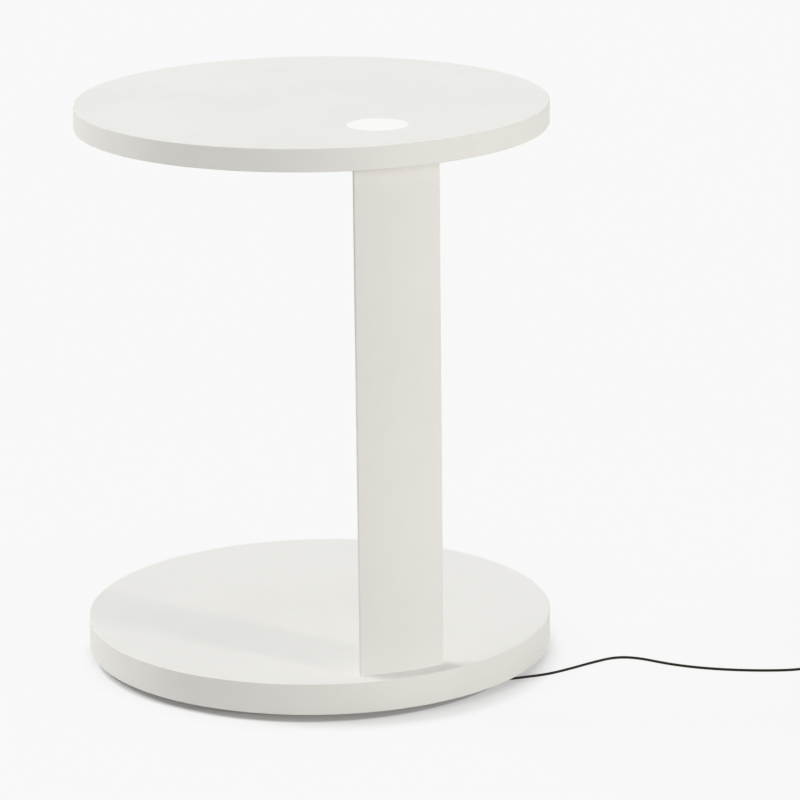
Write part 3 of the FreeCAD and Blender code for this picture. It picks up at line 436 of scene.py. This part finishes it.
def pin_metal():
    """Nickel pins whose roots wear a dark sleeve."""
    finish = Finish("pin_metal")
    place = finish.place()
    from_face = along_row(finish, row_point(PLUG_FACE, PLUG_ASIDE, 0.0))
    sleeve = 1.0 - from_face.smooth(*SLEEVE_EDGE)
    marks = finish.noise(place, PIN_MARKS)
    nickel = finish.mix(marks, NICKEL_DARK, NICKEL_PALE)
    colour = finish.mix(sleeve, nickel, SLEEVE_COLOUR)
    rough = 0.22 + sleeve * 0.28 + marks * 0.06
    normal = finish.bump(marks, PIN_BUMP, 0.3)
    return finish.shade(Base_Color=colour, Metallic=1.0 - sleeve, Roughness=rough, Normal=normal)


def wear(names, material):
    """Gives CAD nodes a finish."""
    for name in names:
        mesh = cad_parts[name].data
        mesh.materials.clear()
        mesh.materials.append(material)
        for face in mesh.polygons:
            face.material_index = 0


def row_point(along, aside, up):
    """A place in the row, given in millimetres, in the table's frame."""
    turn = Matrix.Rotation(math.radians(ROW_ANGLE), 3, "Z")
    return ROW_START + turn @ Vector((along, aside, up)) * MM


def coil_point(turn):
    """A place on the coil, a number of turns from its start, in millimetres in the row."""
    layer_turns = COIL_TURNS / COIL_LAYERS
    outer = COIL_MIDDLE + COIL_PITCH * layer_turns / 2
    layer = min(int(turn / layer_turns), COIL_LAYERS - 1)
    part = turn - layer * layer_turns
    radius = outer - COIL_PITCH * (part if layer % 2 == 0 else layer_turns - part)
    climbs = 0.0
    for step in range(1, COIL_LAYERS):
        share = min(1.0, max(0.0, (turn - step * layer_turns) * 2 + 0.5))
        climbs += share * share * (3 - 2 * share)
    angle = math.pi / 2 - 2 * math.pi * turn
    along = COIL_ALONG + radius * math.cos(angle)
    aside = radius * math.sin(angle) - outer
    return along, aside, COIL_LIFT + COIL_PITCH * climbs


def cord_piece(name, places, settings, material):
    """A cord on one smooth spline along its route."""
    curve = bpy.data.curves.new(name, "CURVE")
    curve.dimensions = "3D"
    curve.bevel_depth = settings.diameter / 2
    curve.bevel_resolution = CORD_ROUND
    curve.use_fill_caps = True
    spline = curve.splines.new("NURBS")
    spline.points.add(len(places) - 1)
    for spot, place in zip(spline.points, places):
        spot.co = (*place, 1.0)
    spline.order_u = CORD_ORDER
    spline.use_endpoint_u = True
    spline.resolution_u = CORD_STEPS
    curve.materials.append(material)
    piece = bpy.data.objects.new(name, curve)
    bpy.context.scene.collection.objects.link(piece)
    return piece


class SIDETABLE_PG_coat(bpy.types.PropertyGroup):
    """Powder coat of the top, the column and the base."""
    colour: bpy.props.FloatVectorProperty(
        name="Colour", description="Colour of the powder coat", subtype="COLOR", size=3, min=0.0, max=1.0,
        default=(0.862, 0.858, 0.832),
    )
    roughness: bpy.props.FloatProperty(
        name="Roughness", description="How matt the coat is", subtype="FACTOR", min=0.0, max=1.0,
        default=0.60,
    )
    peel_size: bpy.props.FloatProperty(
        name="Peel size", description="Width of the coat's fine bumps", unit="LENGTH", min=0.0002, max=0.01,
        default=0.0013,
    )
    peel_depth: bpy.props.FloatProperty(
        name="Peel depth", description="Height of the coat's fine bumps", unit="LENGTH", min=0.0, max=0.001,
        default=0.00003,
    )


class SIDETABLE_PG_light(bpy.types.PropertyGroup):
    """Light in the table's top."""
    colour: bpy.props.FloatVectorProperty(
        name="Colour", description="Colour of the light", subtype="COLOR", size=3, min=0.0, max=1.0,
        default=(1.0, 0.99, 0.965),
    )
    glow: bpy.props.FloatProperty(
        name="Glow", description="Strength of the light through the lens", min=0.0, max=20.0, default=0.07,
    )


class SIDETABLE_PG_cord(bpy.types.PropertyGroup):
    """Cord, switch and plug."""
    colour: bpy.props.FloatVectorProperty(
        name="Colour", description="Colour of the cord's jacket", subtype="COLOR", size=3, min=0.0, max=1.0,
        default=(0.020, 0.014, 0.009),
    )
    diameter: bpy.props.FloatProperty(
        name="Diameter", description="Diameter of the cord", unit="LENGTH", min=0.001, max=0.02,
        default=0.0028,
    )
    fitting: bpy.props.FloatVectorProperty(
        name="Fittings", description="Colour of the switch and the plug", subtype="COLOR", size=3, min=0.0,
        max=1.0, default=(0.030, 0.025, 0.021),
    )


class SIDETABLE_PG_stage(bpy.types.PropertyGroup):
    """Floor, lamps and camera."""
    floor: bpy.props.FloatVectorProperty(
        name="Floor", description="Colour of the floor", subtype="COLOR", size=3, min=0.0, max=1.0,
        default=(0.945, 0.945, 0.945),
    )
    sky: bpy.props.FloatProperty(
        name="Sky", description="Strength of the light from all round", min=0.0, max=5.0, default=1.0,
    )
    key: bpy.props.FloatProperty(
        name="Key", description="Strength of the lamp at the front right", min=0.0, max=20.0, default=1.08,
    )
    side: bpy.props.FloatProperty(
        name="Side", description="Strength of the lamp at the left", min=0.0, max=20.0, default=1.10,
    )
    rear: bpy.props.FloatProperty(
        name="Rear", description="Strength of the smaller lamp at the left", min=0.0, max=20.0, default=0.52,
    )


class SIDETABLE_OT_coat(bpy.types.Operator):
    """Coats the shells of the top, the column and the base, and the plates that close them"""
    bl_idname = "sidetable.coat"
    bl_label = "Coat the Shells"

    def execute(self, context):
        wear(COATED, powder_coat(context.scene.side_table_coat))
        return {"FINISHED"}


class SIDETABLE_OT_light(bpy.types.Operator):
    """Finishes the light: lens, seal, reflector, board, chips and terminal block"""
    bl_idname = "sidetable.light"
    bl_label = "Finish the Light"

    def execute(self, context):
        wear(["diffuser"], opal_lens(context.scene.side_table_light))
        for name, plastic in LIGHT_PLASTICS.items():
            wear([name], moulded(*plastic))
        return {"FINISHED"}


class SIDETABLE_OT_metalwork(bpy.types.Operator):
    """Finishes the bolts, screws, posts, plates and ribs, and the lamp's cup"""
    bl_idname = "sidetable.metalwork"
    bl_label = "Finish the Metalwork"

    def execute(self, context):
        wear(ZINC, bare_metal("zinc_plate", ZINC_COLOUR))
        wear(ALLOY, bare_metal("plain_alloy", ALLOY_COLOUR))
        return {"FINISHED"}


class SIDETABLE_OT_glides(bpy.types.Operator):
    """Finishes the glides under the base"""
    bl_idname = "sidetable.glides"
    bl_label = "Finish the Glides"

    def execute(self, context):
        wear(["glides"], moulded(*GLIDE_PLASTIC))
        return {"FINISHED"}


class SIDETABLE_OT_fittings(bpy.types.Operator):
    """Finishes the gland, the switch, the tie and the plug"""
    bl_idname = "sidetable.fittings"
    bl_label = "Finish the Cord's Fittings"

    def execute(self, context):
        settings = context.scene.side_table_cord
        look = {"colour": settings.fitting, "roughness": 0.5, "gloss": 0.3}
        wear(FITTINGS, moulded("fitting_plastic", **look))
        wear(SWITCH_SHELLS, moulded("switch_plastic", **look, mark=switch_seam))
        wear(PLUG_SHELLS, moulded("plug_plastic", **look, mark=plug_seam))
        look = {"colour": scaled(settings.fitting, 1.2), "roughness": 0.4, "gloss": 0.4}
        wear(["switch_rocker"], moulded("rocker_plastic", **look, mark=rocker_dot))
        wear(["coil_tie"], tie_webbing(settings.fitting))
        wear(["plug_pins"], pin_metal())
        return {"FINISHED"}


class SIDETABLE_OT_cord(bpy.types.Operator):
    """Lays the cord from the base to the switch, and the rest of it to the plug"""
    bl_idname = "sidetable.cord"
    bl_label = "Lay the Cord"

    def execute(self, context):
        settings = context.scene.side_table_cord
        jacket = cord_jacket(settings)
        wear(["inner_leads"], jacket)

        places = [Vector(spot) * MM for spot in LEAD_ROUTE]
        lead = cord_piece("lead", places, settings, jacket)
        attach(lead, "table")
        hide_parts("cord_lead")

        turns = [coil_point(step / COIL_STEPS) for step in range(COIL_TURNS * COIL_STEPS + 1)]
        places = [row_point(*spot) for spot in LINK_ROUTE + turns + TAIL_ROUTE]
        rest = cord_piece("lead_put_away", places, settings, jacket)
        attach(rest, "table")
        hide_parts("cord_link", "cord_coil", "cord_tail")
        return {"FINISHED"}


# The camera stands where the photograph was taken from. Its turn, rise and roll are in degrees, its lens and
# sensor in millimetres, and the rest in metres.
VIEW_TURN = -23.15
VIEW_RISE = 15.42
VIEW_ROLL = -0.61
VIEW_DISTANCE = 4.30803
VIEW_AIM = (0.08951, 0.0, 0.27412)
VIEW_LENS = 180.926
VIEW_SENSOR = 36.0
VIEW_END = 100.0

WHITE = (1.0, 1.0, 1.0)

# Bearings of the lamps from the camera's side, to the right, and their heights and sizes, in degrees.
KEY_BEARING = 56.0
KEY_HEIGHT = 10.0
KEY_SIZE = 5.0
KEY_COLOUR = (1.0, 0.97, 0.92)
SIDE_BEARING = -114.0
SIDE_HEIGHT = 40.0
SIDE_SIZE = 22.0
SIDE_COLOUR = WHITE
REAR_BEARING = -98.0
REAR_HEIGHT = 40.0
REAR_SIZE = 10.0
REAR_COLOUR = WHITE

# Light from the walls, which stand up to about 30 degrees, and from a panel overhead. An edge is given by the
# sines of the heights at which it starts and ends.
WALL_LIGHT = 1.36
WALL_FOOT = (0.18, 0.30)
WALL_HEAD = (0.44, 0.58)
PANEL_LIGHT = 0.70
PANEL_EDGE = (0.70, 0.86)

# What the camera sees of the sky, and rays that count as seen by it.
BACKDROP = 0.94
SEEN_RAYS = ("Is Camera Ray", "Is Glossy Ray", "Is Transmission Ray")

# The floor, which throws back warm light.
FLOOR_REACH = 30.0
FLOOR_BOUNCE = (0.66, 0.643, 0.607)

# Share of plain white in what is seen of the floor: under the base, just past its shadow's edge,
# the same on the side where that edge is sharp, and in the open.
WHITE_UNDER = 0.06
WHITE_BESIDE = 0.42
WHITE_SHARP = 0.66
WHITE_OPEN = 0.95

# The dark under the base is two discs that lean to the sides that no lamp reaches, at the front and behind,
# and a wider soft one to the front. Each has a bearing in degrees, and in metres its shift and where its edge
# starts and ends. That edge is sharpest at one bearing, and less so by the cosine from it.
DARK_BEARING = -27.0
DARK_SHIFT = 0.020
DARK_EDGE = (0.231, 0.234)
BEHIND_BEARING = -155.0
BEHIND_SHIFT = 0.008
BEHIND_EDGE = (0.230, 0.242)
SOFT_BEARING = 0.0
SOFT_SHIFT = 0.026
SOFT_EDGE = (0.235, 0.268)
SHARP_BEARING = -45.0
SHARP_FADE = (0.72, 0.95)


def from_view():
    """Turns the camera's own frame, where it looks along +Y, into the table's."""
    return Matrix.Rotation(math.radians(VIEW_TURN), 3, "Z")


def bearing_vector(bearing, height=0.0):
    """Points at a bearing from the camera's side, and a height, in degrees, in the camera's own frame."""
    side = math.radians(bearing)
    rise = math.radians(height)
    return Vector((math.sin(side) * math.cos(rise), -math.cos(side) * math.cos(rise), math.sin(rise)))


def set_camera():
    """Stands the camera at its bearing, height, roll and distance."""
    rise = math.radians(VIEW_RISE)
    roll = math.radians(VIEW_ROLL)
    back = Vector((0.0, -math.cos(rise), math.sin(rise)))
    right = Vector((1.0, 0.0, 0.0))
    up = Vector((0.0, math.sin(rise), math.cos(rise)))
    rolled_right = right * math.cos(roll) + up * math.sin(roll)
    rolled_up = up * math.cos(roll) - right * math.sin(roll)
    turn = from_view()
    axes = Matrix([turn @ rolled_right, turn @ rolled_up, turn @ back]).transposed().to_4x4()
    axes.translation = turn @ (Vector(VIEW_AIM) + back * VIEW_DISTANCE)
    data = bpy.data.cameras.new("view")
    data.sensor_width = VIEW_SENSOR
    data.lens = VIEW_LENS
    data.clip_end = VIEW_END
    camera = bpy.data.objects.new("view", data)
    camera.matrix_world = axes
    bpy.context.scene.collection.objects.link(camera)
    bpy.context.scene.camera = camera


def add_sun(name, bearing, height, size, strength, colour):
    """A soft distant lamp at a bearing from the camera's side."""
    data = bpy.data.lights.new(name, "SUN")
    data.energy = strength
    data.color = colour
    data.angle = math.radians(size)
    lamp = bpy.data.objects.new(name, data)
    towards = from_view() @ bearing_vector(bearing, height)
    lamp.rotation_mode = "QUATERNION"
    lamp.rotation_quaternion = towards.to_track_quat("Z", "Y")
    bpy.context.scene.collection.objects.link(lamp)


def seen_directly(nodes):
    """1 for what the camera sees, also in gloss and through glass."""
    path = nodes.add("ShaderNodeLightPath")
    camera, gloss, glass = (Value(nodes, path.outputs[name]) for name in SEEN_RAYS)
    return (camera + gloss + glass).clamp()


def set_sky(settings):
    """Even light from walls and a panel overhead."""
    world = bpy.data.worlds.new("studio")
    world.use_nodes = True
    nodes = Nodes(world.node_tree)
    heading = nodes.add("ShaderNodeTexCoord").outputs["Generated"]
    height = nodes.axes(heading)[2]
    walls = height.smooth(*WALL_FOOT) * (1.0 - height.smooth(*WALL_HEAD))
    panel = height.smooth(*PANEL_EDGE)
    level = (walls * WALL_LIGHT + panel * PANEL_LIGHT) * settings.sky
    seen = seen_directly(nodes)
    strength = level * (1.0 - seen) + seen * BACKDROP
    light = nodes.add("ShaderNodeBackground", None, {"Color": opaque(WHITE), "Strength": strength})
    nodes.add("ShaderNodeOutputWorld", None, {"Surface": light.outputs[0]})
    bpy.context.scene.world = world


def floor_spot(bearing, reach=1.0):
    """A place on the floor, at a bearing from the camera's side and so many metres from the middle."""
    return from_view() @ bearing_vector(bearing) * reach


def white_share(finish):
    """How much of the floor is plain white: little under the base, and nearly all in the open."""
    across, along = finish.axes(finish.place())[:2]
    past_dark = distance(across, along, floor_spot(DARK_BEARING, DARK_SHIFT)).smooth(*DARK_EDGE)
    past_behind = distance(across, along, floor_spot(BEHIND_BEARING, BEHIND_SHIFT)).smooth(*BEHIND_EDGE)
    past_soft = distance(across, along, floor_spot(SOFT_BEARING, SOFT_SHIFT)).smooth(*SOFT_EDGE)
    sharp = floor_spot(SHARP_BEARING)
    side = (across * sharp.x + along * sharp.y) / distance(across, along, Vector())
    edge = WHITE_BESIDE + side.smooth(*SHARP_FADE) * (WHITE_SHARP - WHITE_BESIDE)
    beside = edge + past_soft * (WHITE_OPEN - edge)
    return WHITE_UNDER + past_dark * past_behind * (beside - WHITE_UNDER)


def floor_paint(settings):
    """White paint that throws back warm light, with a share of plain white where it is seen."""
    finish = Finish("floor_paint")
    seen = seen_directly(finish)
    colour = finish.mix(seen, FLOOR_BOUNCE, settings.floor)
    paint = finish.add("ShaderNodeBsdfDiffuse", None, {"Color": colour})
    white = finish.add("ShaderNodeEmission", None, {"Color": opaque(settings.floor), "Strength": 1.0})
    layers = {0: seen * white_share(finish), 1: paint.outputs[0], 2: white.outputs[0]}
    both = finish.add("ShaderNodeMixShader", None, layers)
    finish.add("ShaderNodeOutputMaterial", None, {"Surface": both.outputs[0]})
    return finish.material


def set_floor(settings):
    """Lays one wide sheet under the table."""
    mesh = bpy.data.meshes.new("floor")
    sheet = bmesh.new()
    bmesh.ops.create_grid(sheet, x_segments=1, y_segments=1, size=FLOOR_REACH)
    sheet.to_mesh(mesh)
    sheet.free()
    mesh.materials.append(floor_paint(settings))
    floor = bpy.data.objects.new("floor", mesh)
    bpy.context.scene.collection.objects.link(floor)


class SIDETABLE_OT_stage(bpy.types.Operator):
    """Sets the floor, the lamps and the camera"""
    bl_idname = "sidetable.stage"
    bl_label = "Set the Stage"

    def execute(self, context):
        settings = context.scene.side_table_stage
        context.scene.view_settings.view_transform = "Standard"
        set_camera()
        set_sky(settings)
        set_floor(settings)
        add_sun("key", KEY_BEARING, KEY_HEIGHT, KEY_SIZE, settings.key, KEY_COLOUR)
        add_sun("side", SIDE_BEARING, SIDE_HEIGHT, SIDE_SIZE, settings.side, SIDE_COLOUR)
        add_sun("rear", REAR_BEARING, REAR_HEIGHT, REAR_SIZE, settings.rear, REAR_COLOUR)
        return {"FINISHED"}


class SIDETABLE_PT_panel(bpy.types.Panel):
    """Lists the steps that dress the table"""
    bl_idname = "SIDETABLE_PT_panel"
    bl_label = "Side Table"
    bl_space_type = "VIEW_3D"
    bl_region_type = "UI"
    bl_category = "Side Table"

    def draw(self, context):
        for group in GROUPS:
            settings = getattr(context.scene, group)
            for name in settings.__annotations__:
                self.layout.prop(settings, name)
        for step in STEPS:
            self.layout.operator(step.bl_idname)


GROUPS = {
    "side_table_coat": SIDETABLE_PG_coat,
    "side_table_light": SIDETABLE_PG_light,
    "side_table_cord": SIDETABLE_PG_cord,
    "side_table_stage": SIDETABLE_PG_stage,
}
STEPS = (
    SIDETABLE_OT_coat,
    SIDETABLE_OT_light,
    SIDETABLE_OT_metalwork,
    SIDETABLE_OT_glides,
    SIDETABLE_OT_fittings,
    SIDETABLE_OT_cord,
    SIDETABLE_OT_stage,
)


def register():
    for name, group in GROUPS.items():
        bpy.utils.register_class(group)
        setattr(bpy.types.Scene, name, bpy.props.PointerProperty(type=group))
    for made in (*STEPS, SIDETABLE_PT_panel):
        bpy.utils.register_class(made)


def unregister():
    for made in (SIDETABLE_PT_panel, *reversed(STEPS)):
        bpy.utils.unregister_class(made)
    for name, group in GROUPS.items():
        delattr(bpy.types.Scene, name)
        bpy.utils.unregister_class(group)


def main():
    """Dresses the table step by step."""
    register()
    bpy.ops.sidetable.coat()
    bpy.ops.sidetable.light()
    bpy.ops.sidetable.metalwork()
    bpy.ops.sidetable.glides()
    bpy.ops.sidetable.fittings()
    bpy.ops.sidetable.cord()
    bpy.ops.sidetable.stage()


if __name__ == "__main__":
    main()
